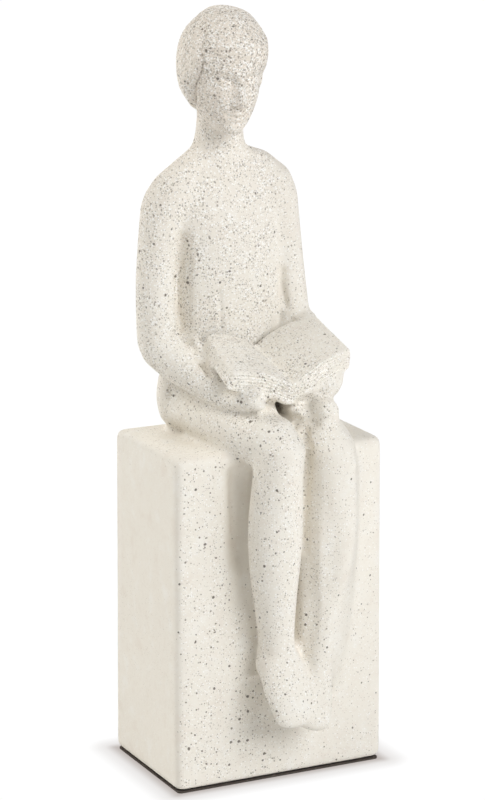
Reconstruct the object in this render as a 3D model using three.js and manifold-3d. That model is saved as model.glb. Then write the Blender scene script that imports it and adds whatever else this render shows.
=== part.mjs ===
// A reading figure seated on a tall block, cast in one piece, on a thin dark pad.
// Millimetres, +Z up. The origin is on the floor under the middle of the block. The figure
// looks along -Y, and its right side is towards -X.

import * as THREE from 'three';
import { mergeVertices } from 'three/addons/utils/BufferGeometryUtils.js';
import Module from 'manifold-3d';

const wasm = await Module();
wasm.setup();

// Block and pad. The draft is how far each side leans in over the height.
const BLOCK = { width: 105, depth: 69, top: 154.6, corner: 2.6, draft: 0.75 };
const PAD = { thickness: 0.8, inset: 1.0, gap: 0.3, corner: 2.0 };

// Joints of the figure's two sides. A bow is how far the middle of a bone leaves its chord.
const RIGHT = {
  collar: [-14, 17, 280],
  shoulder: [-33.3, 17.3, 260],
  elbow: [-38.8, 12.5, 198],
  wrist: [-21, -24, 179],
  knuckles: [-14, -37.5, 179.8],
  hip: [-19.5, 12, 169],
  knee: [-6.8, -44.5, 159.4],
  ankle: [-6.4, -42.2, 61.7],
  toes: [-4.2, -56.4, 35.6],
  collarBow: [0, 0, 1.9],
  armBow: [-3.2, 0, 0],
  thighBow: [-1.8, 0, 0],
  shinBow: [-2.5, -2, 0],
  crest: [-10.5, -36, 169.5],
};
const LEFT = {
  collar: [4, 17, 278],
  shoulder: [22, 17.3, 260.5],
  elbow: [27.7, 12.5, 200],
  wrist: [26, -20, 183],
  knuckles: [21.6, -36, 182.4],
  hip: [11, 12, 164],
  knee: [19.4, -42, 157],
  ankle: [16.5, -40, 62],
  toes: [6, -53, 31.4],
  collarBow: [2.4, 0, 3.6],
  armBow: [1.3, 0, 0],
  thighBow: [0, 0, 0],
  shinBow: [3, -0.5, 0],
  crest: [18.4, -43, 173.2],
};

// Girths along a bone: how far along it, the half width, the depth in front and behind.
const COLLAR = [[0, 8.2, 8.2, 8.2], [0.35, 8.7, 8.7, 8.7], [0.75, 11, 11, 11], [1, 11, 11, 11]];
const UPPER_ARM = [[0, 11, 11, 11], [0.16, 10, 10.2, 10.2], [0.5, 8.9, 9.4, 9.4], [0.8, 9.3, 9.6, 9.6],
  [1, 9.9, 10, 10]];
const FOREARM = [[0, 9.9, 10, 10.8], [0.2, 9.8, 10, 10.4], [0.45, 9, 9, 9], [0.75, 7.6, 7.2, 7],
  [1, 6.4, 5.6, 5.6]];
const THIGH = [[0, 16.5, 15, 14], [0.35, 16.2, 14.5, 13], [0.7, 15.2, 13.5, 14.5], [1, 11.8, 12, 14]];
const CREST = [[0.3, 9, 9, 9], [0.7, 8, 7.8, 7], [1, 5.8, 5.8, 5.8]];
const SHIN = [[0, 12.2, 13.2, 11], [0.14, 11.3, 12.8, 10.6], [0.36, 12.6, 12, 12.8], [0.56, 11.8, 11, 12.6],
  [0.75, 9.4, 9.2, 10.4], [0.9, 8.3, 8.2, 8.6], [1, 8.8, 8.6, 8.6]];
const RIGHT_PALM = [[0, 6.4, 5.4, 5.4], [0.5, 7.2, 4.8, 4.8], [1, 6.4, 3.8, 3.8]];
const LEFT_PALM = [[0, 6.4, 5.4, 5.4], [0.5, 7.2, 4.8, 6], [1, 6.6, 3.8, 5.4]];
const RIGHT_FOOT = [[-0.1, 9, 8.4, 8], [0.2, 11, 7.8, 7.6], [0.65, 11.3, 6, 6], [1, 9.8, 4.4, 4.4]];
const LEFT_FOOT = [[-0.1, 7.4, 8, 8], [0.2, 7.6, 7.4, 7.4], [0.65, 8.8, 6, 6], [1, 9.4, 4.4, 4.4]];

// Sections up the trunk, as limb() takes them.
const TRUNK = [
  [-3.8, 15, 161, 32.5, 17, 18.5],
  [-3.8, 15.2, 172, 34.8, 16, 18.5],
  [-3.2, 15.5, 184, 32.8, 14.5, 16.5],
  [-3.1, 15, 196, 29.1, 13, 14.5],
  [-2.9, 14.5, 209, 26.7, 12.5, 13],
  [-2.7, 14.5, 222, 26.5, 13.5, 13.5],
  [-3, 15, 236, 26.6, 15, 15],
  [-4, 16, 250, 28, 15.5, 16],
  [-5.2, 17, 262, 29, 13.5, 15],
  [-5.6, 17.3, 271, 24.5, 11.5, 13],
  [-6, 17.2, 279, 17.5, 10.5, 12],
  [-6.3, 16.6, 286, 12.6, 10, 11.5],
  [-6.6, 15.4, 294, 10.8, 10.4, 11],
  [-7.4, 13, 305, 10.4, 10, 10.5],
];

// The head about its own middle, as it looks along -Y before it is bowed.
const HEAD = { middle: [-7.8, 10.5, 322.5], bow: 13 };
const SKULL = [
  [0, -11, -24.5, 6.5, 8.5, 9],
  [0, -8, -20, 11, 12, 14],
  [0, -4, -12, 14.8, 17, 17],
  [0, -0.5, -2, 17, 19.6, 20],
  [0.4, 1, 8, 17.6, 21, 21.5],
  [1.4, 1.5, 16, 15, 18, 19],
  [1.5, 2, 21, 9.2, 11, 12],
];
const NOSE = [[0, -19.4, -11, 2.7, 4.6, 3], [0, -19.2, -6, 1.9, 3.4, 3], [0, -18.6, 1, 1.9, 2, 3]];
const LIPS = [
  { height: -15.4, drop: 0.5, width: 4.6, fullness: 1.1 },
  { height: -17.6, drop: -0.4, width: 3.8, fullness: 1.3 },
];
const EAR = [[15.4, -2.4, -14, 1.7, 2.2, 2.4], [17.4, -1.2, -7.5, 2.2, 3.4, 3.8], [18, 0, -1, 2, 3.6, 3.6]];
const HAIR = [
  [0, 8, -22.5, 8.4, 2, 4.6],
  [0, 6.6, -17, 12.6, 4, 9.4],
  [0, 5, -12, 16.2, 9, 14],
  [0, 2, -4, 18.8, 17, 20],
  [0.3, 1.5, 5, 19.5, 22.4, 22.6],
  [1.4, 1.5, 14, 17.7, 21, 21],
  [1.8, 2, 21.9, 11.6, 13.8, 14.4],
];

// Cast masses that close the gaps between the limbs, as limb() takes them: between the shins, from
// the left shin out to the block's face, between the thighs, on the right thigh and on the left one
// under the book, beside the book's near back corner and beside its far one. The last is the heel.
const FILLINGS = [
  [
    [5, -38, 40, 6, 5, 8],
    [11.5, -36, 62, 7, 8, 8],
    [11.5, -36, 88, 7, 8.5, 8],
    [9, -36, 110, 5.5, 9, 8],
    [8.5, -36, 152, 5, 9, 8],
  ],
  [
    [20, -33, 45, 9, 10, 6],
    [23.5, -33, 66, 10.5, 12, 6],
    [26, -33, 105, 12, 13.5, 6],
    [27, -33, 145, 12, 13, 6],
  ],
  [
    [11, -37, 154, 6.5, 7, 8],
    [9.5, -26, 157, 8.5, 7.5, 8],
    [7, -12, 160, 8, 8, 8],
  ],
  [
    [-6.5, -32, 171, 5.5, 8, 8],
    [-6, -20, 173, 6, 8, 8],
  ],
  [
    [15.5, -34, 173, 12, 9.5, 8],
    [15.5, -20, 176, 12, 9.5, 8],
  ],
  [
    [-26.5, 2, 186, 5, 6.5, 6],
    [-26.5, 2, 198, 5, 6.5, 6],
  ],
  [
    [29.5, -4, 199.5, 7.5, 7, 7],
    [31, 7.5, 203, 7.5, 7, 7.5],
  ],
  [
    [-12.8, -43, 57, 4.6, 4.6, 4.6],
    [-12.8, -43.3, 61, 4.7, 4.7, 4.7],
  ],
];

// The hollow in the block's face beside the right shin, deepest under the thigh, as limb() takes it.
const HOLLOW = [
  [-17.5, -44, 92, 7, 4, 10.6],
  [-17.5, -44, 112, 11, 4, 11.6],
  [-17.5, -44, 132, 14, 4, 12.4],
  [-17.5, -44, 143, 14, 4, 12.6],
];

// The open book. Each half reaches out and rises from the gutter, and its fore-edge fans out below.
const BOOK = { gutter: 3.2, front: -39, back: 0.5, spine: 3, thickness: 9.6 };
const GUTTER_HEIGHT = { front: 185.7, back: 196.2 };
const RIGHT_PAGES = { reach: 25.5, rise: 8, arch: 4.6, fan: 3.6, edge: 8, taper: 2, flare: 0.12 };
const LEFT_PAGES = { reach: 30.8, rise: 12, arch: 5, fan: -0.6, edge: 9.2, taper: 3, flare: 0 };

// The four fingers of a hand, and how far apart they lie.
const FINGERS = [0, 1, 2, 3];
const FINGER_PITCH = 4.6;

// Sides round a large limb, a smaller one, a palm and a finger or filling.
const LARGE = 16;
const SMALL = 14;
const PALM = 10;
const FINGER = 8;

const STONE = new THREE.MeshStandardMaterial({ color: 0xe9e4d8, roughness: 0.85, metalness: 0 });
const FELT = new THREE.MeshStandardMaterial({ color: 0x2a221d, roughness: 0.95, metalness: 0 });

const { clamp, lerp, mapLinear } = THREE.MathUtils;

// A closed three.js geometry as a solid that can be joined and cut.
function solid(geometry) {
  const bare = geometry.clone();
  bare.deleteAttribute('normal');
  bare.deleteAttribute('uv');
  const merged = mergeVertices(bare, 1e-4);
  const corners = merged.index.array;
  const triangles = [];
  for (let i = 0; i < corners.length; i += 3) {
    const [a, b, c] = [corners[i], corners[i + 1], corners[i + 2]];
    if (a !== b && b !== c && c !== a) triangles.push(a, b, c);
  }
  return new wasm.Manifold(
    new wasm.Mesh({
      numProp: 3,
      vertProperties: new Float32Array(merged.attributes.position.array),
      triVerts: new Uint32Array(triangles),
    }),
  );
}

function join(solids) {
  return solids.reduce((whole, next) => whole.add(next));
}

function geometryOf(manifold) {
  const { vertProperties, triVerts } = manifold.getMesh();
  const geometry = new THREE.BufferGeometry();
  geometry.setAttribute('position', new THREE.BufferAttribute(vertProperties, 3));
  geometry.setIndex(new THREE.BufferAttribute(triVerts, 1));
  geometry.computeVertexNormals();
  return geometry;
}

// A rounded body along the smooth curve through its sections. A section is
// [x, y, z, half width, front depth, back depth]. The width lies along `across`, and the front is
// where `across` turned into the curve points: forwards on a limb that climbs, upwards on one
// that runs back. A level body keeps its sections flat instead of square to the curve.
function limb(sections, options = {}) {
  const { across = [1, 0, 0], sides = LARGE, rows = 2, caps = 2, ends = [0.8, 0.8], level = false } = options;
  const place = new THREE.CatmullRomCurve3(sections.map(([x, y, z]) => new THREE.Vector3(x, y, z)));
  const size = new THREE.CatmullRomCurve3(sections.map(([, , , w, f, b]) => new THREE.Vector3(w, f, b)));
  place.curveType = 'catmullrom';
  size.curveType = 'catmullrom';
  const bodyRows = (sections.length - 1) * rows;
  const geometry = new THREE.SphereGeometry(1, sides, bodyRows + 2 * caps);
  const { position } = geometry.attributes;
  const width = new THREE.Vector3(...across);
  for (let i = 0; i < position.count; i += 1) {
    const row = Math.floor(i / (sides + 1)) - caps;
    const turn = (2 * Math.PI * (i % (sides + 1))) / sides;
    const t = clamp(row / bodyRows, 0, 1);
    const past = row - t * bodyRows;
    const lift = (Math.abs(past) / caps) * (Math.PI / 2);
    const { x: half, y: front, z: back } = size.getPoint(t);
    const along = level ? new THREE.Vector3(0, 0, 1) : place.getTangent(t);
    const wide = width.clone().addScaledVector(along, -width.dot(along)).normalize();
    const deep = wide.clone().cross(along);
    const cap = Math.min(half, (front + back) / 2) * ends[past < 0 ? 0 : 1];
    const point = place
      .getPoint(t)
      .addScaledVector(along, Math.sign(past) * Math.sin(lift) * cap)
      .addScaledVector(wide, Math.cos(turn) * half * Math.cos(lift))
      .addScaledVector(deep, Math.sin(turn) * (Math.sin(turn) > 0 ? front : back) * Math.cos(lift));
    position.setXYZ(i, point.x, point.y, point.z);
  }
  return solid(geometry);
}

// Sections from one joint to another. They are listed from the far joint back, so that the front
// of an arm or a leg is in front or on top.
function bone(near, far, girths, bow = [0, 0, 0]) {
  const sections = girths.map(([t, ...girth]) => {
    const lean = Math.sin(Math.PI * clamp(t, 0, 1));
    return [...near.map((value, axis) => lerp(value, far[axis], t) + bow[axis] * lean), ...girth];
  });
  return sections.reverse();
}

// A rectangle with round corners, seen from above.
function roundedPlan(width, depth, corner) {
  const [x, y] = [width / 2 - corner, depth / 2 - corner];
  const plan = new THREE.Shape();
  plan.absarc(x, y, corner, 0, Math.PI / 2);
  plan.absarc(-x, y, corner, Math.PI / 2, Math.PI);
  plan.absarc(-x, -y, corner, Math.PI, 1.5 * Math.PI);
  plan.absarc(x, -y, corner, 1.5 * Math.PI, 2 * Math.PI);
  return plan;
}

// The block narrows a little towards its top, and its edges are softly rounded.
function block() {
  const { width, depth, top, corner, draft } = BLOCK;
  const bottom = PAD.thickness + PAD.gap;
  const plan = roundedPlan(width - 2 * corner, depth - 2 * corner, 0.6);
  const geometry = new THREE.ExtrudeGeometry(plan, {
    depth: top - bottom - 2 * corner,
    bevelSize: corner,
    bevelThickness: corner,
    bevelSegments: 3,
    curveSegments: 3,
  });
  geometry.translate(0, 0, bottom + corner);
  const { position } = geometry.attributes;
  for (let i = 0; i < position.count; i += 1) {
    const lean = (2 * draft * position.getZ(i)) / top;
    position.setX(i, position.getX(i) * (1 - lean / width));
    position.setY(i, position.getY(i) * (1 - lean / depth));
  }
  return solid(geometry);
}

function arm({ collar, shoulder, elbow, wrist, collarBow, armBow }) {
  return [
    limb(bone(collar, shoulder, COLLAR, collarBow), { sides: SMALL, rows: 1 }),
    limb(bone(shoulder, elbow, UPPER_ARM, armBow), { sides: SMALL }),
    limb(bone(elbow, wrist, FOREARM, [0, 0, -1.4]), { sides: SMALL }),
  ];
}

function leg({ hip, knee, ankle, toes, thighBow, shinBow, crest }, foot) {
  return [
    limb(bone(hip, knee, THIGH, thighBow)),
    limb(bone(hip, crest, CREST), { sides: SMALL, rows: 1 }),
    limb(bone(knee, ankle, SHIN, shinBow), { ends: [0.8, 0.62] }),
    limb(bone(ankle, toes, foot, [0, -1.5, 0]), { sides: SMALL, caps: 3, ends: [0.9, 0.7] }),
  ];
}

// A finger or thumb through round sections [x, y, z, radius], from its tip.
function finger(...joints) {
  const sections = joints.map(([x, y, z, radius]) => [x, y, z, radius, radius, radius]);
  return limb(sections, { sides: FINGER, rows: 1, across: [0, 1, 0] });
}

// The right hand lies under the near corner of the book, its fingers reaching under the spine.
function rightHand() {
  const { wrist, knuckles } = RIGHT;
  const palm = limb(bone(wrist, knuckles, RIGHT_PALM), { sides: PALM });
  const thumb = finger([-15.5, -41, 185.6, 2.6], [-18, -38.5, 183.6, 3.2], [-20, -32, 181, 3.6]);
  const fingers = FINGERS.map((i) => {
    const [y, z] = [FINGER_PITCH * i - 40.5, i + 178.4];
    return finger([-13, y, z, 2.4], [-15.4, y + 0.8, z + 0.6, 2.7], [-18, y + 3, z + 1.6, 3]);
  });
  return [palm, thumb, ...fingers];
}

// The left hand holds the far edge from below, its fingers curled up over the side of the pages.
function leftHand() {
  const { wrist, knuckles } = LEFT;
  const palm = limb(bone(wrist, knuckles, LEFT_PALM), { sides: PALM });
  const fingers = FINGERS.map((i) => {
    const [y, z] = [FINGER_PITCH * i - 36, 0.8 * i + 187.6];
    return finger([28.2, y, z, 2.1], [27.4, y, z - 3.4, 2.5], [23.6, y + 0.5, z - 6, 2.7]);
  });
  return [palm, ...fingers];
}

// Hair as a close cap over the skull, open at the face. The opening is drawn from the front: it
// rises past the sideburns to a side parting, and the fringe sweeps across from there.
function hair() {
  const cap = limb(HAIR, { sides: 18, caps: 3, ends: [0.2, 0.34], level: true });
  const opening = new THREE.Shape();
  opening.moveTo(-15.5, -40);
  opening.lineTo(-16.6, -6);
  opening.quadraticCurveTo(-16, 5, -9.5, 13.5);
  opening.quadraticCurveTo(2, 12.5, 10, 8.5);
  opening.quadraticCurveTo(15.5, 4, 16.6, -6);
  opening.lineTo(15.5, -40);
  const face = new THREE.ExtrudeGeometry(opening, { depth: 40, bevelEnabled: false, curveSegments: 6 });
  face.rotateX(Math.PI / 2);
  face.translate(0, -4, 0);
  return cap.subtract(solid(face));
}

// The head is built looking along -Y about its own middle, then bowed and set on the neck.
function head() {
  const skull = limb(SKULL, { sides: 18, caps: 3, ends: [0.3, 0.35], level: true });
  const nose = limb(NOSE, { sides: FINGER, rows: 1, ends: [0.5, 0.3], level: true });
  const lip = ({ height, drop, width, fullness }) => {
    const corner = (side) => [side * width, -16.6, height - drop, 0.6, 0.8, 0.8];
    const sections = [corner(1), [0, -18.8, height, fullness, 1.6, 1.6], corner(-1)];
    return limb(sections, { sides: FINGER, rows: 1, across: [0, 0, 1] });
  };
  const ear = (side) =>
    limb(EAR.map(([x, ...rest]) => [side * x, ...rest]), { sides: FINGER, rows: 1 });
  return join([skull, nose, ...LIPS.map(lip), ear(-1), ear(1), hair()])
    .rotate([HEAD.bow, 0, 0])
    .translate(HEAD.middle);
}

// The right pages are on -X. An outline runs from the gutter out along the top and back below.
function bookOutline() {
  const outline = new THREE.Shape();
  const { spine, thickness } = BOOK;
  const outer = ({ reach, rise, fan, edge }, side) => [side * (reach + fan), rise - edge];
  const under = ({ reach, rise, arch }, side) => [side * reach * 0.5, rise * 0.5 - thickness + 0.5 * arch];
  const over = ({ reach, rise, arch }, side) => [side * reach * 0.45, rise * 0.5 + arch];
  outline.moveTo(0, 0);
  outline.quadraticCurveTo(...over(RIGHT_PAGES, -1), -RIGHT_PAGES.reach, RIGHT_PAGES.rise);
  outline.lineTo(...outer(RIGHT_PAGES, -1));
  outline.quadraticCurveTo(...under(RIGHT_PAGES, -1), -spine, -thickness);
  outline.lineTo(spine, -thickness);
  outline.quadraticCurveTo(...under(LEFT_PAGES, 1), ...outer(LEFT_PAGES, 1));
  outline.lineTo(LEFT_PAGES.reach, LEFT_PAGES.rise);
  outline.quadraticCurveTo(...over(LEFT_PAGES, 1), 0, 0);
  return outline;
}

function book() {
  const { gutter, front, back } = BOOK;
  const geometry = new THREE.ExtrudeGeometry(bookOutline(), {
    depth: back - front,
    bevelEnabled: false,
    curveSegments: 7,
  });
  const { position } = geometry.attributes;
  for (let i = 0; i < position.count; i += 1) {
    const [x, rise, run] = [position.getX(i), position.getY(i), position.getZ(i)];
    const { taper, reach, flare } = x < 0 ? RIGHT_PAGES : LEFT_PAGES;
    const trim = taper * (x / reach) ** 2;
    const y = mapLinear(run, 0, back - front, back - trim, front + trim);
    const wide = 1 + (flare * run) / (back - front);
    const lift = mapLinear(y, front, back, GUTTER_HEIGHT.front, GUTTER_HEIGHT.back);
    position.setXYZ(i, gutter + x * wide, y, rise + lift);
  }
  return solid(geometry);
}

// The casting is solid, so hollows that are closed in on all sides are left out.
function outerShell(whole) {
  return whole.decompose().reduce((largest, next) => (next.volume() > largest.volume() ? next : largest));
}

function sculpture() {
  const trunk = limb(TRUNK, { sides: 18 });
  const limbs = [...arm(RIGHT), ...leg(RIGHT, RIGHT_FOOT), ...arm(LEFT), ...leg(LEFT, LEFT_FOOT)];
  const fillings = FILLINGS.map((sections) => limb(sections, { sides: FINGER, rows: 1 }));
  const seat = block().subtract(limb(HOLLOW, { sides: PALM, rows: 1 }));
  return outerShell(
    join([seat, trunk, ...limbs, ...fillings, ...rightHand(), ...leftHand(), head(), book()]),
  );
}

function basePad() {
  const { thickness, inset, corner } = PAD;
  const plan = roundedPlan(BLOCK.width - 2 * inset, BLOCK.depth - 2 * inset, corner);
  return new THREE.ExtrudeGeometry(plan, { depth: thickness, bevelEnabled: false, curveSegments: 3 });
}

const figure = new THREE.Mesh(geometryOf(sculpture()), STONE);
figure.name = 'sculpture';

const pad = new THREE.Mesh(basePad(), FELT);
pad.name = 'base_pad';

const reader = new THREE.Group();
reader.add(figure, pad);

export default reader;
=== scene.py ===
"""Looks of a seated reading figure, cast in one with its block, on a thin felt pad.

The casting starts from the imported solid: its skin is remeshed finely, its creases are filled,
and its face, hair, hands and pages are then worked like clay. Metres, +Z up, and the figure
looks along -Y with its right side towards -X.
"""

import math

import bmesh
import bpy
import numpy as np
from bpy.props import FloatProperty, FloatVectorProperty, IntProperty, PointerProperty
from mathutils import Matrix, Vector


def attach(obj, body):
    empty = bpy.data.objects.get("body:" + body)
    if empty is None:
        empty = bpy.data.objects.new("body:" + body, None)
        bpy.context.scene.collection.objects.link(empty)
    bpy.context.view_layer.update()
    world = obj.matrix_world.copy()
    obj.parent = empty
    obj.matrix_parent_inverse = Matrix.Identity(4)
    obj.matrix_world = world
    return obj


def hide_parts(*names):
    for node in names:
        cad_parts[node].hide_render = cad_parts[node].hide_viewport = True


bl_info = {
    "name": "Reading figure",
    "version": (1, 0, 0),
    "blender": (4, 5, 0),
    "location": "3D View > Sidebar > Reading figure",
    "description": "Builds the looks of a cast figure that reads on a block",
    "category": "Add Mesh",
}

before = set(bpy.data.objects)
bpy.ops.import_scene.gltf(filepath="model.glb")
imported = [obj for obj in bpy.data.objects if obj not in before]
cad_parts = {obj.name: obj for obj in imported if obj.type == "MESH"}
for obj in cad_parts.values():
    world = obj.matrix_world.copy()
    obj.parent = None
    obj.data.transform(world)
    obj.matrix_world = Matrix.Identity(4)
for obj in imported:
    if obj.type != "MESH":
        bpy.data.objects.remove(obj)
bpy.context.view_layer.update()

MM = 0.001
BLOCK_TOP = 154.6 * MM
HEAD_MIDDLE = Vector((-7.8, 10.5, 322.5)) * MM
HEAD_BOW = math.radians(13)

# The open book: its gutter, its front and the gutter's height there, how it slopes up to the back,
# and each half's reach, rise and arch.
BOOK = {
    "gutter": 3.2, "front": -39.0, "height": 185.7, "slope": 0.266, "right": (28.5, 8.0, 4.6), "left": (30.8, 12.0, 5.0)
}

# The outer edges of the open pages, which are rounded over, and how often they are smoothed.
PAGE_EDGES = [
    ([(-22.3, 1, 203.5), (-25.2, -38, 193)], 12),
    ([(33.6, 1, 207.5), (33.6, -36, 197), (33.6, -36, 190)], 5),
]

# Where creases are filled more or less than elsewhere: two corners in millimetres and how much.
FILLS = [
    ((21, -52, 34), (42, -33, 150), 3.4),
    ((-32, -6, 186), (-21, 8, 203), 0.9),
    ((-37, -2, 205), (-26, 18, 250), 0.3),
    ((18, -2, 205), (25, 14, 222), 0.4),
    ((18, -2, 230), (25, 14, 256), 2.2),
    ((-4, -56, 40), (14, -36, 150), 0.7),
    ((-30, -42, 60), (-12, -33, 152), 0.25),
    ((-22, -50, 22), (-6, -33, 52), 3.2),
    ((-20, -50, 52), (-10, -38, 68), 0.4),
    ((-12, -42, 168), (-2, -24, 179), 3.0),
    ((5, -44, 168), (28, -24, 182), 3.0),
    ((-34, -34, 164), (-16, 6, 180), 1.8),
    ((-2, -48, 58), (10, -36, 88), 2.2),
]

# Soft hollows under the book and a fill between the shins, in millimetres: the middle, the reach
# and how far back each one moves the skin.
HOLLOWS = [
    ((11.5, -40, 176), (6.5, 6, 3.8), 5.5),
    ((-6, -38, 176.5), (4, 6, 3.2), 4.0),
    ((10.5, -46, 108), (4, 6, 36), -2.2),
]

# How much higher the block's top stands than in the solid.
BLOCK_RISE = 1.0 * MM

# The far leg's outer side, which runs out into the block.
FAR_SLOPE = ((22, -54, 42), (45, -33, 144))

# Low relief of the face, drawn from the front in millimetres about the head's middle: across,
# up, half width, half height, and how far it stands out. Each one off the middle has a twin.
FACE_FORMS = [
    (6.5, 0.2, 4.0, 2.7, -2.0),
    (3.3, 0.0, 1.4, 2.0, -0.9),
    (6.8, -1.7, 3.0, 1.9, 0.8),
    (9.8, -8.0, 4.2, 3.6, 0.8),
    (0.0, -4.0, 1.7, 6.0, 0.9),
    (0.0, -9.6, 1.8, 1.6, 1.0),
    (2.7, -10.4, 1.1, 1.3, 1.1),
    (4.3, -11.0, 0.8, 1.8, -0.6),
    (1.5, -12.3, 0.8, 0.5, -0.9),
    (0.0, -13.6, 0.8, 1.3, -0.4),
    (1.5, -14.9, 1.6, 0.8, 0.6),
    (0.0, -17.9, 2.6, 0.9, 0.6),
    (4.9, -15.9, 0.9, 0.9, -0.5),
    (0.0, -19.9, 3.2, 1.0, -0.7),
    (0.0, -22.8, 3.4, 2.2, 0.7),
]

# Fine lines of the face: points across and up, half width, and how far they stand out.
FACE_LINES = [
    ([(2.2, 4.4), (5.6, 5.1), (9.0, 4.6), (11.6, 3.1)], 1.3, 0.45),
    ([(3.7, -0.9), (5.2, 0.7), (7.4, 0.9), (10.0, -0.9)], 0.45, -0.4),
    ([(3.6, -1.9), (5.0, -2.8), (7.2, -3.2), (10.1, -2.0)], 0.45, -0.35),
    ([(0.0, -16.4), (2.4, -16.2), (4.7, -15.7)], 0.42, -0.5),
]

# The hairline from the front: across and up.
HAIRLINE = [
    (-16.8, -16), (-16.2, 0), (-14.6, 6), (-9.5, 10.5), (-2, 10), (4, 9), (10, 7), (14.4, 4), (16.2, 0), (16.8, -16)
]

# Lines in the hair, in the head's own frame: a path, its half width and how far it stands out.
HAIR_LINES = [
    ([(-12.6, -3, 20), (-13.6, -5, 18), (-15.9, -8.2, 13.8), (-16.4, -9.6, 9.5)], 1.5, -0.8),
    ([(-13.2, -0.5, 20), (-15.6, -3, 16.6), (-17.2, -4.8, 13), (-18, -6.5, 8)], 1.8, 0.55),
    ([(-16, -11.8, 8.5), (-16, -11.4, 7.1), (-15.9, -11.4, 3.8), (-15.3, -8.7, -1.5), (-15.7, -7.2, -4.4),
      (-15.3, -7.3, -7.2), (-14.6, -6.6, -10.8), (-13.7, -5.5, -14.6)], 0.65, -1.1),
    ([(-17.2, -8.5, 6), (-17, -6.5, 0), (-16.8, -4.6, -5)], 1.3, 0.45),
    ([(-17.5, -3, -7.5), (-16.5, -1.5, -13.5)], 1.0, -0.4),
    ([(-18.6, -1, 12), (-18.8, -1.5, 4), (-18.6, 0, -3)], 0.7, -0.35),
]

# Lines drawn into the figure in world millimetres: a path, its half width and its depth.
BODY_LINES = [
    ([(-6, 31, 284), (-3.2, 29, 240), (-3, 28, 205), (-3.8, 33, 172)], 5.0, 1.4),
    ([(-3, 5, 283.5), (5, 6, 283), (14, 9, 280)], 1.4, 0.5),
    ([(-13.4, 2, 222), (-12.2, 2, 212), (-12.6, 2, 203)], 1.2, 0.5),
    ([(-30.2, 13, 248), (-30.4, 14, 240), (-30.2, 16, 222), (-30.3, 13, 207)], 2.0, 1.4),
    ([(-29.5, 9, 205), (-29, -4, 197), (-28.6, -11, 193.6)], 2.0, 2.2),
    ([(-27.3, 9, 243), (-27, 10, 236), (-26.8, 11, 220), (-27, 10, 206)], 4.5, 1.0),
    ([(20.6, 7, 228), (20.2, 7, 222), (21.6, 5.6, 212)], 1.8, 1.4),
    ([(8.6, -40, 164), (7.7, -43.4, 157.6), (7, -43.8, 148), (6.8, -43.5, 136)], 2.2, 2.6),
    ([(6.7, -43.5, 132), (6.4, -43.3, 122), (6.5, -43.3, 110)], 2.2, 1.4),
    ([(-23, -32.8, 146), (-22.5, -33, 140), (-22, -33.5, 124), (-21.5, -33.6, 108)], 4.5, 3.4),
    ([(-21.2, -33.8, 102), (-20.6, -33.9, 86)], 4.5, 1.3),
    ([(-28.6, -11, 193.6), (-28.2, -16, 191), (-28.4, -22, 190), (-28.5, -33, 188.8)], 1.2, 2.9),
    ([(-38.5, 5, 183), (-36, 8, 174)], 0.9, 0.7),
]


class CastingSettings(bpy.types.PropertyGroup):
    """Sizes of the casting's skin."""

    grain: FloatProperty(
        name="Mesh size", description="Edge of a face of the fine skin", default=0.6 * MM, unit="LENGTH"
    )
    fillet: FloatProperty(
        name="Fillet", description="How far a crease between limbs is filled", default=1.1 * MM, unit="LENGTH"
    )
    triangles: IntProperty(
        name="Triangles", description="Most triangles of the finished skin", default=195000, min=1000
    )


class FinishSettings(bpy.types.PropertyGroup):
    """Colours of the stone-effect mix and of the felt."""

    ivory: FloatVectorProperty(
        name="Ivory", description="Ground colour", subtype="COLOR", default=(0.83, 0.785, 0.70)
    )
    chalk: FloatVectorProperty(
        name="Chalk", description="Paler patches of the ground", subtype="COLOR", default=(0.87, 0.845, 0.785)
    )
    clay: FloatVectorProperty(
        name="Clay", description="Warmer patches of the ground", subtype="COLOR", default=(0.76, 0.69, 0.60)
    )
    speck: FloatVectorProperty(
        name="Speck", description="Dark mineral specks", subtype="COLOR", default=(0.13, 0.105, 0.08)
    )
    chip: FloatVectorProperty(
        name="Chip", description="Brown mineral chips", subtype="COLOR", default=(0.21, 0.17, 0.13)
    )
    grain: FloatVectorProperty(
        name="Grain", description="White fine grains", subtype="COLOR", default=(0.96, 0.945, 0.91)
    )
    grit: FloatVectorProperty(
        name="Grit", description="Grey-brown fine grit", subtype="COLOR", default=(0.36, 0.31, 0.25)
    )
    felt: FloatVectorProperty(
        name="Felt", description="Felt of the base pad", subtype="COLOR", default=(0.085, 0.07, 0.06)
    )


class StageSettings(bpy.types.PropertyGroup):
    """Floor, lights and camera."""

    azimuth: FloatProperty(
        name="Azimuth", description="Camera's turn from the front", default=math.radians(-26.39), subtype="ANGLE"
    )
    elevation: FloatProperty(
        name="Elevation", description="Camera's angle above level", default=math.radians(14.01), subtype="ANGLE"
    )
    distance: FloatProperty(
        name="Distance", description="Camera to the middle of the figure", default=1.4068, unit="LENGTH"
    )
    lens: FloatProperty(
        name="Lens", description="Focal length on a 36 mm sensor", default=138.88, unit="CAMERA"
    )
    aim: FloatProperty(
        name="Aim height", description="Height that the camera looks at", default=170.68 * MM, unit="LENGTH"
    )
    aside: FloatProperty(
        name="Aim aside", description="How far to the right the camera looks", default=-2.47 * MM, unit="LENGTH"
    )
    key: FloatProperty(
        name="Key light", description="Power of the large light in front", default=28.0, unit="POWER"
    )
    fill: FloatProperty(
        name="Fill light", description="Power of the low light at the front right", default=14.0, unit="POWER"
    )
    side: FloatProperty(
        name="Side light", description="Power of the high light at the left", default=20.2, unit="POWER"
    )
    left: FloatProperty(
        name="Left light", description="Power of the low light at the front left", default=2.4, unit="POWER"
    )
    rim: FloatProperty(
        name="Rim lights", description="Power of each low light behind", default=21.8, unit="POWER"
    )
    sky: FloatProperty(name="Sky", description="Strength of the white surroundings", default=0.02)


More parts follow.
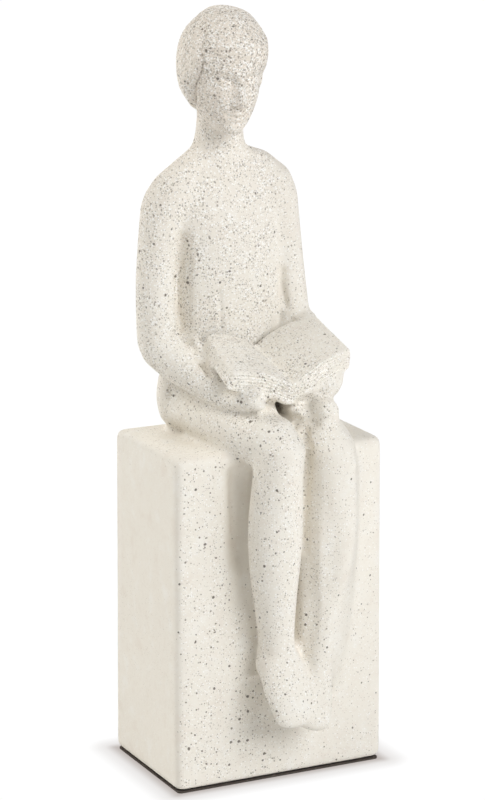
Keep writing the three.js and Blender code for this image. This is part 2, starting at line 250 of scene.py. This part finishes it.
class Wire:
    """An output socket that takes part in sums, so that shader maths reads as Python."""

    def __init__(self, finish, socket):
        self.finish = finish
        self.socket = socket

    def math(self, operation, *values):
        return self.finish.node("ShaderNodeMath", {"operation": operation}, {i: v for i, v in enumerate(values)})

    def __add__(self, other):
        return self.math("ADD", self, other)

    def __radd__(self, other):
        return self.math("ADD", other, self)

    def __sub__(self, other):
        return self.math("SUBTRACT", self, other)

    def __rsub__(self, other):
        return self.math("SUBTRACT", other, self)

    def __mul__(self, other):
        return self.math("MULTIPLY", self, other)

    def __rmul__(self, other):
        return self.math("MULTIPLY", other, self)

    def __truediv__(self, other):
        return self.math("DIVIDE", self, other)


class Finish:
    """A node material under construction."""

    def __init__(self, name):
        self.material = bpy.data.materials.new(name)
        self.material.use_nodes = True
        self.tree = self.material.node_tree
        self.tree.nodes.clear()

    def node(self, kind, settings=None, inputs=None, output=0):
        """Adds a node, sets its settings and then its sockets, and returns one output as a Wire."""
        made = self.tree.nodes.new(kind)
        for name, value in (settings or {}).items():
            if name == "stops":
                self.set_stops(made.color_ramp, value)
            else:
                setattr(made, name, value)
        for name, value in (inputs or {}).items():
            socket = made.inputs[name]
            if isinstance(value, Wire):
                self.tree.links.new(value.socket, socket)
            else:
                socket.default_value = value
        return Wire(self, made.outputs[output])

    @staticmethod
    def set_stops(ramp, stops):
        while len(ramp.elements) < len(stops):
            ramp.elements.new(1.0)
        for element, (place, colour) in zip(ramp.elements, stops):
            element.position = place
            element.color = colour

    def span(self, value, low, high, to_low=0.0, to_high=1.0):
        """The value eased from one range to another, and held outside it."""
        return self.node(
            "ShaderNodeMapRange",
            {"interpolation_type": "SMOOTHSTEP", "clamp": True},
            {"Value": value, "From Min": low, "From Max": high, "To Min": to_low, "To Max": to_high},
        )

    def blend(self, factor, first, second):
        """A colour between two colours. An RGBA Mix node keeps its colours in sockets 6 and 7."""
        return self.node(
            "ShaderNodeMix",
            {"data_type": "RGBA", "clamp_factor": True},
            {0: factor, 6: first, 7: second},
            output=2,
        )

    def noise(self, place, size, detail=2.0, roughness=0.5):
        """Smooth noise whose lumps are about `size` metres across."""
        return self.node(
            "ShaderNodeTexNoise",
            {"noise_dimensions": "3D"},
            {"Vector": place, "Scale": 1 / size, "Detail": detail, "Roughness": roughness},
        )

    def close(self, surface, bump=None):
        """Ends the material in a Principled shader."""
        if bump is not None:
            surface = {**surface, "Normal": bump}
        shader = self.node("ShaderNodeBsdfPrincipled", {}, surface)
        out = self.tree.nodes.new("ShaderNodeOutputMaterial")
        self.tree.links.new(shader.socket, out.inputs["Surface"])
        return self.material


def opaque(colour):
    return (*colour, 1.0)


def stone_finish(look):
    """Matt cast stone-effect mix: an ivory ground with paler and warmer patches, fine grit and dark specks."""
    finish = Finish("speckled_casting")
    place = finish.node("ShaderNodeTexCoord", {}, {}, output="Object")
    ragged = finish.node(
        "ShaderNodeTexNoise", {"noise_dimensions": "3D"}, {"Vector": place, "Scale": 1 / (0.9 * MM), "Detail": 1.0}, 1
    )
    shift = finish.node("ShaderNodeVectorMath", {"operation": "SCALE"}, {0: ragged, 3: 0.55 * MM})
    rough_place = finish.node("ShaderNodeVectorMath", {"operation": "ADD"}, {0: place, 1: shift})

    def specks(cell, share, least, most, crowd):
        """Specks of random size, one at most in a cell, in that share of the cells."""
        voronoi = finish.tree.nodes.new("ShaderNodeTexVoronoi")
        voronoi.feature = "F1"
        voronoi.inputs["Scale"].default_value = 1 / cell
        finish.tree.links.new(rough_place.socket, voronoi.inputs["Vector"])
        away = Wire(finish, voronoi.outputs["Distance"])
        draw = finish.node("ShaderNodeSeparateColor", {}, {"Color": Wire(finish, voronoi.outputs["Color"])})
        chosen = draw - (1 - share * crowd)
        radius = chosen / share * ((most - least) / cell) + least / cell
        inside = finish.span(away / radius, 1.15, 0.7)
        return inside * finish.span(chosen, 0.0, 0.01)

    aside = finish.node("ShaderNodeSeparateXYZ", {}, {"Vector": place}, output="X")
    depth = finish.node("ShaderNodeSeparateXYZ", {}, {"Vector": place}, output="Y")
    height = finish.node("ShaderNodeSeparateXYZ", {}, {"Vector": place}, output="Z")
    front = finish.span(depth, -32.8 * MM, -34.0 * MM)
    legs = finish.span(depth, -35.0 * MM, -44.0 * MM)
    figure = finish.span(height, 152 * MM, 158 * MM)
    on_figure = finish.node("ShaderNodeMath", {"operation": "MAXIMUM"}, {0: legs, 1: figure})
    head = finish.span(height, 292 * MM, 304 * MM) * finish.span(aside, -30 * MM, -19 * MM, 0.25, 1.0)
    near_leg = front * finish.span(aside, 0.0, -22 * MM)
    upper = finish.span(height, 150 * MM, 190 * MM, 1.0, 1.5) * finish.span(aside, 12 * MM, 22 * MM, 1.0, 0.7)
    clusters = finish.span(finish.noise(place, 8 * MM, 1.0), 0.36, 0.64, 0.8, 1.2)
    crowd = upper * clusters * (0.16 + 0.6 * front + on_figure * (0.66 - 0.55 * front)) + 0.41 * head
    fine = specks(0.85 * MM, 0.6, 0.15 * MM, 0.36 * MM, crowd)
    grains = specks(0.95 * MM, 0.6, 0.18 * MM, 0.4 * MM, crowd * 1.1 + 0.1)
    middling = specks(1.6 * MM, 0.45, 0.24 * MM, 0.48 * MM, crowd)
    chips = specks(2.5 * MM, 0.5, 0.3 * MM, 0.56 * MM, clusters * (0.2 + 0.7 * near_leg + 0.9 * head))
    large = specks(4.2 * MM, 0.4, 0.42 * MM, 0.72 * MM, 0.25 + 0.65 * crowd + 0.5 * near_leg)

    patches = finish.noise(place, 9 * MM, 3.0, 0.55)
    mottle = finish.noise(place, 2.2 * MM, 2.0)
    ground = finish.blend(finish.span(patches, 0.52, 0.75, 0.0, 0.55), opaque(look.ivory), opaque(look.chalk))
    ground = finish.blend(finish.span(patches, 0.46, 0.28, 0.0, 0.4), ground, opaque(look.clay))
    ground = finish.blend(finish.span(mottle, 0.5, 0.3, 0.0, 0.22), ground, opaque(look.clay))
    # The ground turns darker and warmer towards the top and over the front of the head, less so towards the head's left
    # side.
    clay_to_top_and_head = finish.span(height, 200 * MM, 300 * MM, 0.0, 0.45) + 0.5 * head
    ground = finish.blend(clay_to_top_and_head, ground, opaque(look.clay))
    colour = finish.blend(grains * 0.8, ground, opaque(look.grain))
    colour = finish.blend(fine * 0.62, colour, opaque(look.grit))
    colour = finish.blend(middling * 0.85, colour, opaque(look.grit))
    colour = finish.blend(chips * 0.9, colour, opaque(look.chip))
    colour = finish.blend(large * 0.9, colour, opaque(look.speck))

    skin = finish.noise(place, 1.1 * MM, 4.0, 0.6)
    trowel = finish.noise(place, 6 * MM, 2.0)
    relief = skin * (0.2 + 0.12 * on_figure) + trowel * 0.4 - middling * 0.12 - chips * 0.15 - large * 0.2
    bump = finish.node("ShaderNodeBump", {}, {"Strength": 0.8, "Distance": 0.5 * MM, "Height": relief})
    return finish.close(
        {"Base Color": colour, "Roughness": 0.86 - large * 0.2, "Specular IOR Level": 0.3}, bump
    )


def felt_finish(look):
    """Dark felt: short matted fibres with a little lint."""
    finish = Finish("dark_felt")
    place = finish.node("ShaderNodeTexCoord", {}, {}, output="Object")
    fibres = finish.noise(place, 0.35 * MM, 4.0, 0.7)
    lint = finish.span(finish.noise(place, 1.6 * MM, 2.0), 0.6, 0.75, 0.0, 0.5)
    colour = finish.blend(lint, opaque(look.felt), opaque(tuple(2.4 * c for c in look.felt)))
    bump = finish.node("ShaderNodeBump", {}, {"Strength": 0.9, "Distance": 0.3 * MM, "Height": fibres})
    return finish.close({"Base Color": colour, "Roughness": 0.95, "Specular IOR Level": 0.15}, bump)


def smooth_step(value, low, high):
    t = np.clip((value - low) / (high - low), 0, 1)
    return t * t * (3 - 2 * t)


def wobble(points, size, seed):
    """Repeatable smooth noise, mostly between -1 and 1. Its lumps are about `size` across."""
    chance = np.random.default_rng(seed)
    total = np.zeros(len(points))
    for _ in range(10):
        wave = chance.normal(size=points.shape[1])
        wave *= math.pi / (size * np.linalg.norm(wave))
        total += np.sin(points @ wave + chance.uniform(0, 2 * math.pi))
    return total / 3


def away_from(points, path):
    """How far each point is from a path of straight pieces."""
    nearest = np.full(len(points), np.inf)
    for start, end in zip(path, path[1:]):
        start, run = np.array(start, float), np.subtract(end, start)
        t = np.clip((points - start) @ run / (run @ run), 0, 1)
        nearest = np.minimum(nearest, np.linalg.norm(points - start - t[:, None] * run, axis=1))
    return nearest


def laid_on(points, path):
    """The path in short steps, each moved to the nearest of the points."""
    path = np.array(path, float)
    steps = np.linspace(0, len(path) - 1, 6 * len(path) - 5)
    places = np.stack([np.interp(steps, np.arange(len(path)), column) for column in path.T], axis=1)
    nearest = [int(np.argmin(((points - place) ** 2).sum(axis=1))) for place in places]
    return points[list(dict.fromkeys(nearest))]


def hump(distance, width):
    """1 in the middle of a rounded line, easing to 0 at about twice its half width."""
    return np.exp(-((distance / width) ** 2))


class Clay:
    """A mesh's skin as arrays, which can be smoothed, swollen and pressed like clay."""

    def __init__(self, thing):
        self.thing = thing
        self.read()

    def read(self):
        mesh = self.thing.data
        self.points = np.empty((len(mesh.vertices), 3))
        mesh.vertices.foreach_get("co", self.points.ravel())
        self.edges = np.empty((len(mesh.edges), 2), dtype=np.int64)
        mesh.edges.foreach_get("vertices", self.edges.ravel())
        self.valence = np.bincount(self.edges.ravel(), minlength=len(self.points))[:, None]

    def write(self):
        self.thing.data.vertices.foreach_set("co", self.points.ravel())
        self.thing.data.update()

    def normals(self):
        self.write()
        normals = np.empty((len(self.points), 3))
        self.thing.data.vertex_normals.foreach_get("vector", normals.ravel())
        return normals

    def neighbours_mean(self, values):
        total = np.zeros_like(values)
        start, end = self.edges.T
        for axis in range(values.shape[1]):
            total[:, axis] = np.bincount(start, values[end, axis], len(values))
            total[:, axis] += np.bincount(end, values[start, axis], len(values))
        return total / self.valence

    def relax(self, strength, rounds):
        """Moves each point towards the middle of its neighbours, by its own strength from 0 to 1."""
        strength = np.broadcast_to(strength, len(self.points))
        touched = (strength[self.edges] > 0).any(axis=1)
        used, places = np.unique(self.edges[touched], return_inverse=True)
        start, end = places.reshape(-1, 2).T
        moved, strength = self.points[used], strength[used, None]
        for _ in range(rounds):
            total = np.zeros_like(moved)
            for axis in range(3):
                total[:, axis] = np.bincount(start, moved[end, axis], len(moved))
                total[:, axis] += np.bincount(end, moved[start, axis], len(moved))
            moved += strength * (total / self.valence[used] - moved)
        self.points[used] = moved

    def creased(self):
        """1 along hollows, from how far each point lies below its neighbours."""
        below = np.einsum("ij,ij->i", self.neighbours_mean(self.points) - self.points, self.normals())
        for _ in range(4):
            below = self.neighbours_mean(below[:, None])[:, 0]
        return smooth_step(below, 0.012 * MM, 0.045 * MM)

    def swell(self, amount):
        """Moves each point out along its normal, by its own amount."""
        self.points += self.normals() * np.broadcast_to(amount, len(self.points))[:, None]

    def remesh(self, size):
        """Rebuilds the skin on an even grid, which joins whatever overlaps."""
        self.write()
        step = self.thing.modifiers.new("even_grid", "REMESH")
        step.mode = "VOXEL"
        step.voxel_size = size
        apply_modifiers(self.thing)
        self.read()

    def refine(self, chosen):
        """Halves the grid where it is chosen."""
        self.write()
        bm = bmesh.new()
        bm.from_mesh(self.thing.data)
        bm.verts.ensure_lookup_table()
        edges = [e for e in bm.edges if chosen[e.verts[0].index] and chosen[e.verts[1].index]]
        bmesh.ops.subdivide_edges(bm, edges=edges, cuts=1, use_grid_fill=True)
        bm.to_mesh(self.thing.data)
        bm.free()
        self.read()


def apply_modifiers(thing):
    evaluated = thing.evaluated_get(bpy.context.evaluated_depsgraph_get())
    mesh = bpy.data.meshes.new_from_object(evaluated)
    thing.modifiers.clear()
    spent, thing.data = thing.data, mesh
    bpy.data.meshes.remove(spent)


def link(name, bm):
    """A bmesh as a new object in the scene."""
    mesh = bpy.data.meshes.new(name)
    bm.to_mesh(mesh)
    bm.free()
    thing = bpy.data.objects.new(name, mesh)
    bpy.context.scene.collection.objects.link(thing)
    return thing


def shade_smooth(thing):
    thing.data.shade_smooth()


def near_box(points, low, high, soft):
    """1 inside a box given in millimetres, easing to 0 over `soft` millimetres outside it."""
    out = np.zeros(len(points))
    for axis in range(3):
        value = points[:, axis] / MM
        out = np.maximum(out, np.maximum(low[axis] - value, value - high[axis]))
    return 1 - smooth_step(out, 0, soft)


def in_head(points):
    """Points in the head's own frame, in millimetres: before it was bowed, about its middle."""
    turn = np.array(Matrix.Rotation(-HEAD_BOW, 3, "X"))
    return (points - np.array(HEAD_MIDDLE)) @ turn.T / MM


def below_pages(points):
    """How far each point lies below the open pages, in millimetres."""
    x, y, z = (points / MM).T
    near = x < BOOK["gutter"]
    reach, rise, arch = (np.where(near, r, l) for r, l in zip(BOOK["right"], BOOK["left"]))
    out = np.clip(np.abs(x - BOOK["gutter"]) / reach, 0, 1)
    top = BOOK["height"] + BOOK["slope"] * (y - BOOK["front"]) + rise * out + 2 * arch * out * (1 - out)
    return top - z


def on_book(points):
    """1 in and on the book, easing to 0 just outside it."""
    below = below_pages(points)
    flat = near_box(points, (-27.5, -40, 160), (35, 2, 230), 1.5)
    return flat * smooth_step(below, -2.5, -1) * (1 - smooth_step(below, 9, 10.5))


HEAD_AXES = np.array(Matrix.Rotation(HEAD_BOW, 3, "X")).T
FORWARD, UPWARD = -HEAD_AXES[1], HEAD_AXES[2]


class READER_OT_casting(bpy.types.Operator):
    """Makes the casting's fine skin over its solid"""

    bl_idname = "reader.casting"
    bl_label = "Cast sculpture"

    def execute(self, context):
        size = context.scene.reader_casting
        bm = bmesh.new()
        bm.from_mesh(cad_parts["sculpture"].data)
        bmesh.ops.remove_doubles(bm, verts=bm.verts, dist=0.001 * MM)
        thing = link("cast_sculpture", bm)
        clay = Clay(thing)
        clay.remesh(size.grain)
        self.fill_creases(clay, size)
        self.soften(clay)
        clay.refine(self.fine_parts(clay.points) > 0.5)
        clay.relax(0.5, 2)
        self.model_face(clay)
        self.comb_hair(clay)
        self.draw_body(clay)
        self.leaf_pages(clay)
        clay.write()
        self.thin(thing, size)
        shade_smooth(thing)
        thing.data.materials.clear()
        thing.data.materials.append(stone_finish(context.scene.reader_finish))
        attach(thing, "root")
        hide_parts("sculpture")
        return {"FINISHED"}

    @staticmethod
    def fine_parts(points):
        """1 where the forms are small: the head, the hands and the book."""
        head = in_head(points)
        face = smooth_step(head[:, 2], -30, -26)
        book = near_box(points, (-33, -48, 172), (38, 4, 210), 4)
        return np.maximum(face, book)

    @staticmethod
    def fringe(head):
        """1 on the forehead where the hair blends into the brow."""
        x, y, z = head.T
        return (1 - smooth_step(y, -12, -7)) * smooth_step(z, 4.5, 8) * (1 - smooth_step(np.abs(x + 1), 11, 15))

    def fill_creases(self, clay, size):
        def reach():
            amount = 1 - 0.75 * self.fine_parts(clay.points) * (1 - self.fringe(in_head(clay.points)))
            amount *= 1 - 0.6 * on_book(clay.points)
            for low, high, much in FILLS:
                amount *= 1 + (much - 1) * near_box(clay.points, low, high, 3)
            return size.fillet * amount

        clay.swell(reach())
        clay.remesh(size.grain)
        clay.swell(-reach())
        clay.remesh(size.grain)

    def soften(self, clay):
        fine = self.fine_parts(clay.points)
        block = 1 - smooth_step(clay.points[:, 2], BLOCK_TOP - 4 * MM, BLOCK_TOP + 2 * MM)
        block *= smooth_step(clay.points[:, 1], -36 * MM, -34 * MM)
        strength = 0.8 * (1 - 0.8 * np.maximum(fine, 0.6 * block)) * (1 - 0.8 * on_book(clay.points))
        for low, high, much in FILLS:
            strength *= 1 - 0.8 * max(0, 1 - much) * near_box(clay.points, low, high, 3)
        slope = near_box(clay.points, *FAR_SLOPE, 6)
        clay.relax(strength * (1 - 0.85 * clay.creased() * (1 - slope)), 28)
        clay.relax(0.9 * slope, 160)
        for path, rounds in PAGE_EDGES:
            clay.relax(0.9 * (1 - smooth_step(away_from(clay.points / MM, path), 1.2, 3.4)), rounds)
        clay.relax(0.9 * self.fringe(in_head(clay.points)), 50)

    @staticmethod
    def model_face(clay):
        """Presses a calm, plain face with lowered lids into the front of the head."""
        head = in_head(clay.points)
        front = (1 - smooth_step(head[:, 1], -13, -9)) * smooth_step(head[:, 2], -27, -25)
        chosen = np.flatnonzero(front > 0)
        x, y, z = head[chosen].T
        lift = np.zeros(len(chosen))
        for across, up, wide, tall, out in FACE_FORMS:
            for side in {across, -across}:
                lift += out * np.exp(-(((x - side) / wide) ** 2) - ((z - up) / tall) ** 2)
        flat = np.stack([np.abs(x), z], axis=1)
        for path, width, out in FACE_LINES:
            lift += out * hump(away_from(flat, path), width)
        clay.points[chosen] += np.outer(lift * front[chosen] * MM, FORWARD)

    @staticmethod
    def comb_hair(clay):
        """Sets the sideburns off from the cheeks and draws fine strands down from the parting."""
        head = in_head(clay.points)
        x, y, z = head.T
        line = np.interp(x, *np.transpose(HAIRLINE))
        back = smooth_step(y, -12.5, -9.5)
        hair = np.maximum(back, smooth_step(z - line, -0.5, 1.5)) * smooth_step(z, -24, -19)
        hair *= 1 - smooth_step(-z, 13, 17) * (1 - smooth_step(y, -2, 3))
        drift = wobble(head, 9.0, 3)
        sideways = smooth_step(-x, 12, 16) + smooth_step(x, 14, 18)
        over = np.arctan2(z + 2, -y) * 21
        down = y + 0.35 * z
        strands = (1 - sideways) * np.sin(2 * math.pi * (over + 1.3 * drift) / 2.1)
        strands += sideways * np.sin(2 * math.pi * (down + 1.3 * drift) / 2.1)
        finer = np.sin(2 * math.pi * (np.where(sideways > 0.5, down, over) + 1.1 * drift) / 1.1)
        depth = 0.5 + 0.5 * wobble(head, 6.0, 4)
        lift = hair * (0.3 + depth * (0.16 * strands + 0.07 * finer))
        for path, width, out in HAIR_LINES:
            lift += out * hump(away_from(head, laid_on(head, path)), width)
        clay.swell(lift * MM)
        clay.points[:, 2] -= 0.3 * MM * smooth_step(clay.points[:, 2] / MM, 333, 349)

    @staticmethod
    def draw_body(clay):
        height = clay.points[:, 2] / MM
        clay.points[:, 2] += BLOCK_RISE * smooth_step(height, 60, 150) * (1 - smooth_step(height, 157, 172))
        for middle, across, back in HOLLOWS:
            out = (((clay.points / MM - middle) / across) ** 2).sum(axis=1)
            clay.points[:, 1] += back * MM * np.exp(-out)
        lift = np.zeros(len(clay.points))
        for path, width, depth in BODY_LINES:
            path = laid_on(clay.points / MM, path) * MM
            reach = 3 * width * MM
            inside = (clay.points > path.min(axis=0) - reach) & (clay.points < path.max(axis=0) + reach)
            close = np.flatnonzero(inside.all(axis=1))
            lift[close] -= depth * hump(away_from(clay.points[close], path) / MM, width)
        clay.swell(lift * MM)

    @staticmethod
    def leaf_pages(clay):
        """Rules fine page lines into the front edges of the book, below its open pages."""
        front = near_box(clay.points, (-27, -40.5, 172), (37, -35.5, 205), 0.1)
        below = below_pages(clay.points) + 0.25 * wobble(clay.points / MM, 9.0, 7)
        ruled = front * smooth_step(below, 0.4, 1.0) * (1 - smooth_step(below, 8.0, 9.0))
        lines = 0.5 - 0.5 * np.cos(2 * math.pi * below / 1.4)
        clay.points[:, 1] += 0.45 * MM * ruled * lines**2

    @staticmethod
    def thin(thing, size):
        """Brings the skin under its count of triangles."""
        bm = bmesh.new()
        bm.from_mesh(thing.data)
        bmesh.ops.triangulate(bm, faces=bm.faces)
        bm.to_mesh(thing.data)
        bm.free()
        count = len(thing.data.polygons)
        if count > size.triangles:
            step = thing.modifiers.new("fewer", "DECIMATE")
            step.ratio = size.triangles / count
            apply_modifiers(thing)


class READER_OT_base_pad(bpy.types.Operator):
    """Gives the base pad its felt"""

    bl_idname = "reader.base_pad"
    bl_label = "Base pad"

    def execute(self, context):
        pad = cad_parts["base_pad"]
        pad.data.materials.clear()
        pad.data.materials.append(felt_finish(context.scene.reader_finish))
        return {"FINISHED"}


class READER_OT_stage(bpy.types.Operator):
    """Makes the floor, the lights and the camera"""

    bl_idname = "reader.stage"
    bl_label = "Stage"

    def execute(self, context):
        stage = context.scene.reader_stage
        self.floors()
        self.lights(stage)
        self.camera(stage)
        context.scene.view_settings.view_transform = "Standard"
        return {"FINISHED"}

    @staticmethod
    def floors():
        """Lays a plain floor that reflects the light, and over it one that the camera sees as white, with a soft
        contact shadow painted into its glow around the base.
        """

        def plane(name, surface):
            bm = bmesh.new()
            bmesh.ops.create_grid(bm, x_segments=1, y_segments=1, size=6.0)
            floor = link(name, bm)
            floor.data.materials.append(surface)
            return floor

        pale = Finish("floor_pale")
        bounce = plane("floor_bounce", pale.close({"Base Color": opaque((0.9, 0.9, 0.9)), "Roughness": 0.9}))
        bounce.location.z = -MM
        bounce.visible_camera = False

        white = Finish("floor_white_painted_shadow")
        place = white.node("ShaderNodeTexCoord", {}, {}, output="Object")
        sides = white.node("ShaderNodeVectorMath", {"operation": "ABSOLUTE"}, {0: place})
        beyond = white.node("ShaderNodeVectorMath", {"operation": "SUBTRACT"}, {0: sides, 1: (52 * MM, 34 * MM, 1.0)})
        outside = white.node("ShaderNodeVectorMath", {"operation": "MAXIMUM"}, {0: beyond, 1: (0, 0, 0)})
        away = white.node("ShaderNodeVectorMath", {"operation": "LENGTH"}, {0: outside}, output="Value")
        # Painted contact shadow: the seen floor's glow dims to a warm grey at the base's footprint and fades back to
        # white about 16 mm out.
        out_of_painted_shadow = white.span(away, -MM, 6 * MM, 0.0, 0.6) + white.span(away, 3 * MM, 16 * MM, 0.0, 0.4)
        glow_with_painted_shadow = white.blend(out_of_painted_shadow, opaque((0.52, 0.475, 0.45)), opaque((1.0, 1.0, 1.0)))
        black = {"Base Color": opaque((0, 0, 0)), "Roughness": 1.0, "Specular IOR Level": 0.0}
        seen = plane("floor", white.close({**black, "Emission Color": glow_with_painted_shadow, "Emission Strength": 1.02}))
        seen.visible_diffuse = seen.visible_glossy = seen.visible_shadow = False

    @staticmethod
    def lights(stage):
        def softbox(name, azimuth, elevation, distance, width, power, tint):
            light = bpy.data.lights.new(name, "AREA")
            light.color = tint
            light.shape = "SQUARE"
            light.size = width
            light.energy = power
            thing = bpy.data.objects.new(name, light)
            bpy.context.scene.collection.objects.link(thing)
            a, e = math.radians(azimuth), math.radians(elevation)
            back = Vector((math.sin(a) * math.cos(e), -math.cos(a) * math.cos(e), math.sin(e)))
            thing.location = Vector((0, 0, 0.2)) + distance * back
            thing.rotation_euler = (-back).to_track_quat("-Z", "Y").to_euler()
            thing.visible_camera = False

        cool, warm = (0.958, 0.974, 1.0), (1.0, 0.992, 0.972)
        softbox("key", 15, 31, 2.2, 1.32, stage.key, cool)
        softbox("fill", 37, 27, 2.2, 1.32, stage.fill, cool)
        softbox("left", -35, 10, 2.2, 1.32, stage.left, warm)
        softbox("side", -100, 50, 2.2, 1.32, stage.side, warm)
        softbox("rim_left", -140, 20, 2.2, 1.32, stage.rim, warm)
        softbox("rim_right", 150, 20, 2.2, 1.32, stage.rim, warm)
        world = bpy.data.worlds.new("studio")
        world.use_nodes = True
        sky = world.node_tree.nodes["Background"]
        sky.inputs["Color"].default_value = (1.0, 1.0, 1.0, 1.0)
        sky.inputs["Strength"].default_value = stage.sky
        tree = world.node_tree
        seen, both = tree.nodes.new("ShaderNodeLightPath"), tree.nodes.new("ShaderNodeMixShader")
        backdrop = tree.nodes.new("ShaderNodeBackground")
        backdrop.inputs["Color"].default_value = (1.0, 1.0, 1.0, 1.0)
        tree.links.new(seen.outputs["Is Camera Ray"], both.inputs["Fac"])
        tree.links.new(sky.outputs[0], both.inputs[1])
        tree.links.new(backdrop.outputs[0], both.inputs[2])
        tree.links.new(both.outputs[0], tree.nodes["World Output"].inputs["Surface"])
        bpy.context.scene.world = world

    @staticmethod
    def camera(stage):
        camera = bpy.data.cameras.new("camera")
        camera.sensor_width = 36.0
        camera.lens = stage.lens
        camera.clip_start, camera.clip_end = 0.05, 50.0
        thing = bpy.data.objects.new("camera", camera)
        bpy.context.scene.collection.objects.link(thing)
        a, e = stage.azimuth, stage.elevation
        back = Vector((math.sin(a) * math.cos(e), -math.cos(a) * math.cos(e), math.sin(e)))
        right = Vector((math.cos(a), math.sin(a), 0))
        thing.location = Vector((0, 0, stage.aim)) + stage.aside * right + stage.distance * back
        thing.rotation_euler = (-back).to_track_quat("-Z", "Y").to_euler()
        bpy.context.scene.camera = thing


class READER_PT_panel(bpy.types.Panel):
    """Lists the steps in the sidebar"""

    bl_idname = "READER_PT_panel"
    bl_label = "Reading figure"
    bl_space_type = "VIEW_3D"
    bl_region_type = "UI"
    bl_category = "Reading figure"

    def draw(self, context):
        for name in ("reader_casting", "reader_finish", "reader_stage"):
            settings = getattr(context.scene, name)
            column = self.layout.column()
            for prop in settings.bl_rna.properties:
                if prop.identifier not in ("rna_type", "name"):
                    column.prop(settings, prop.identifier)
        for step in OPERATORS:
            self.layout.operator(step.bl_idname)


OPERATORS = (READER_OT_casting, READER_OT_base_pad, READER_OT_stage)
SETTINGS = {"reader_casting": CastingSettings, "reader_finish": FinishSettings, "reader_stage": StageSettings}


def register():
    for kind in (*SETTINGS.values(), *OPERATORS, READER_PT_panel):
        bpy.utils.register_class(kind)
    for name, kind in SETTINGS.items():
        setattr(bpy.types.Scene, name, PointerProperty(type=kind))


def unregister():
    for name in SETTINGS:
        delattr(bpy.types.Scene, name)
    for kind in reversed((*SETTINGS.values(), *OPERATORS, READER_PT_panel)):
        bpy.utils.unregister_class(kind)


def main():
    register()
    bpy.ops.reader.casting()
    bpy.ops.reader.base_pad()
    bpy.ops.reader.stage()


if __name__ == "__main__":
    main()
